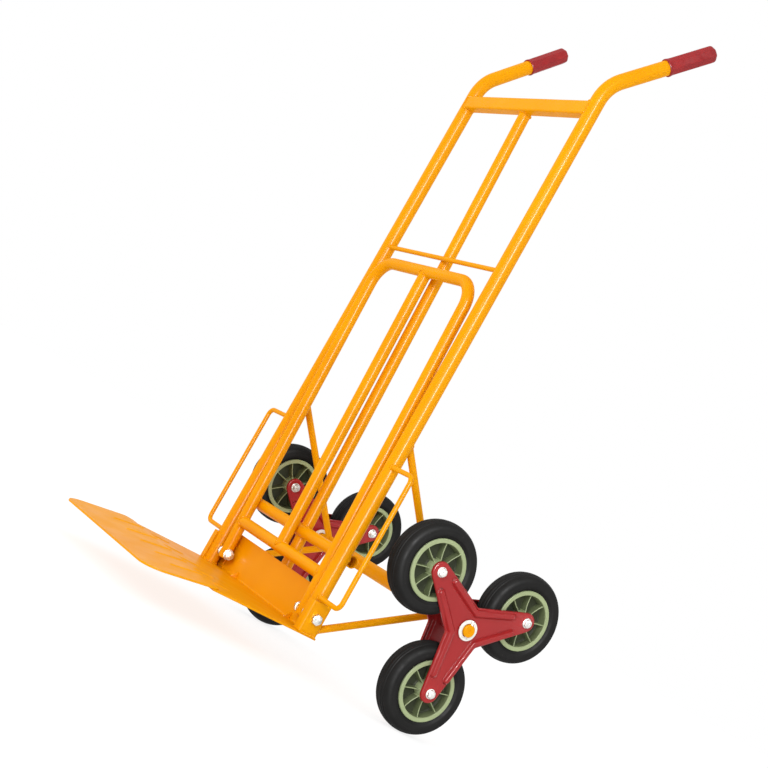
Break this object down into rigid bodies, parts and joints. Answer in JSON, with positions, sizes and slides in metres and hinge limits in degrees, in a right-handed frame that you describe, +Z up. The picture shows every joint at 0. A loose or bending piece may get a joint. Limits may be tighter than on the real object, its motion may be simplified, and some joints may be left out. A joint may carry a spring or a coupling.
{
  "type": "stair-climbing hand truck",
  "caption": "Upright hand truck with a toe plate, a folding inner frame, bent handles with grips and three-wheel stars for climbing stairs.",
  "frame": {"origin": "middle of the part's footprint at the lowest point of the bottom tyres", "axes": "+Z up along the rails, +Y towards the wheels and handles, -Y towards the toe plate, +X to the right when seen from the front; the nodes named right are on +X"},
  "size_m": [0.586, 0.6678, 1.2093],
  "materials": {
    "frame_paint": "gloss",
    "star_paint": "gloss",
    "tyre": "matt",
    "rim": "satin",
    "grip": "satin",
    "washer": "satin",
    "zinc": "satin"
  },
  "bodies": {
    "frame": {"right_rail": "frame_paint", "left_rail": "frame_paint", "top_crossbar": "frame_paint", "centre_tube": "frame_paint", "tie_rod": "frame_paint", "lower_cross_tube": "frame_paint", "toe_base": "frame_paint", "toe_blade": "frame_paint", "right_foot_cheek": "frame_paint", "left_foot_cheek": "frame_paint", "axle_beam": "frame_paint", "axle": "frame_paint", "right_upper_strut": "frame_paint", "left_upper_strut": "frame_paint", "right_lower_strut": "frame_paint", "left_lower_strut": "frame_paint", "right_side_loop": "frame_paint", "left_side_loop": "frame_paint", "right_grip": "grip", "left_grip": "grip", "right_pivot_bolt": "zinc", "left_pivot_bolt": "zinc", "right_hub_washers": "washer", "left_hub_washers": "washer", "right_split_pin": "zinc", "left_split_pin": "zinc"},
    "folding_frame": {"fold_hoop": "frame_paint", "fold_centre_bar": "frame_paint", "fold_bottom_bar": "frame_paint"},
    "right_star": {"right_star_outer_plate": "star_paint", "right_star_inner_plate": "star_paint", "right_star_hub": "star_paint", "right_star_bolts": "zinc", "right_star_nuts": "zinc"},
    "right_bottom_wheel": {"right_bottom_tyre": "tyre", "right_bottom_rim": "rim", "right_bottom_bush": "zinc"},
    "right_rear_wheel": {"right_rear_tyre": "tyre", "right_rear_rim": "rim", "right_rear_bush": "zinc"},
    "right_front_wheel": {"right_front_tyre": "tyre", "right_front_rim": "rim", "right_front_bush": "zinc"},
    "left_star": {"left_star_outer_plate": "star_paint", "left_star_inner_plate": "star_paint", "left_star_hub": "star_paint", "left_star_bolts": "zinc", "left_star_nuts": "zinc"},
    "left_bottom_wheel": {"left_bottom_tyre": "tyre", "left_bottom_rim": "rim", "left_bottom_bush": "zinc"},
    "left_rear_wheel": {"left_rear_tyre": "tyre", "left_rear_rim": "rim", "left_rear_bush": "zinc"},
    "left_front_wheel": {"left_front_tyre": "tyre", "left_front_rim": "rim", "left_front_bush": "zinc"}
  },
  "joints": [
    {"name": "fold_down", "type": "hinge", "parent": "frame", "child": "folding_frame", "pos_m": [0, -0.03798, 0.09026], "axis": [1, 0, 0], "range_deg": [0, 88]},
    {"name": "right_star_turn", "type": "hinge", "parent": "frame", "child": "right_star", "pos_m": [0.2564, 0.15932, 0.18826], "axis": [1, 0, 0], "continuous": true},
    {"name": "right_bottom_wheel_spin", "type": "hinge", "parent": "right_star", "child": "right_bottom_wheel", "pos_m": [0.2564, 0.15635, 0.075], "axis": [1, 0, 0], "continuous": true},
    {"name": "right_rear_wheel_spin", "type": "hinge", "parent": "right_star", "child": "right_rear_wheel", "pos_m": [0.2564, 0.25888, 0.24232], "axis": [1, 0, 0], "continuous": true},
    {"name": "right_front_wheel_spin", "type": "hinge", "parent": "right_star", "child": "right_front_wheel", "pos_m": [0.2564, 0.06271, 0.24746], "axis": [1, 0, 0], "continuous": true},
    {"name": "left_star_turn", "type": "hinge", "parent": "frame", "child": "left_star", "pos_m": [-0.2564, 0.15932, 0.18826], "axis": [1, 0, 0], "continuous": true},
    {"name": "left_bottom_wheel_spin", "type": "hinge", "parent": "left_star", "child": "left_bottom_wheel", "pos_m": [-0.2564, 0.15635, 0.075], "axis": [1, 0, 0], "continuous": true},
    {"name": "left_rear_wheel_spin", "type": "hinge", "parent": "left_star", "child": "left_rear_wheel", "pos_m": [-0.2564, 0.25888, 0.24232], "axis": [1, 0, 0], "continuous": true},
    {"name": "left_front_wheel_spin", "type": "hinge", "parent": "left_star", "child": "left_front_wheel", "pos_m": [-0.2564, 0.06271, 0.24746], "axis": [1, 0, 0], "continuous": true}
  ]
}
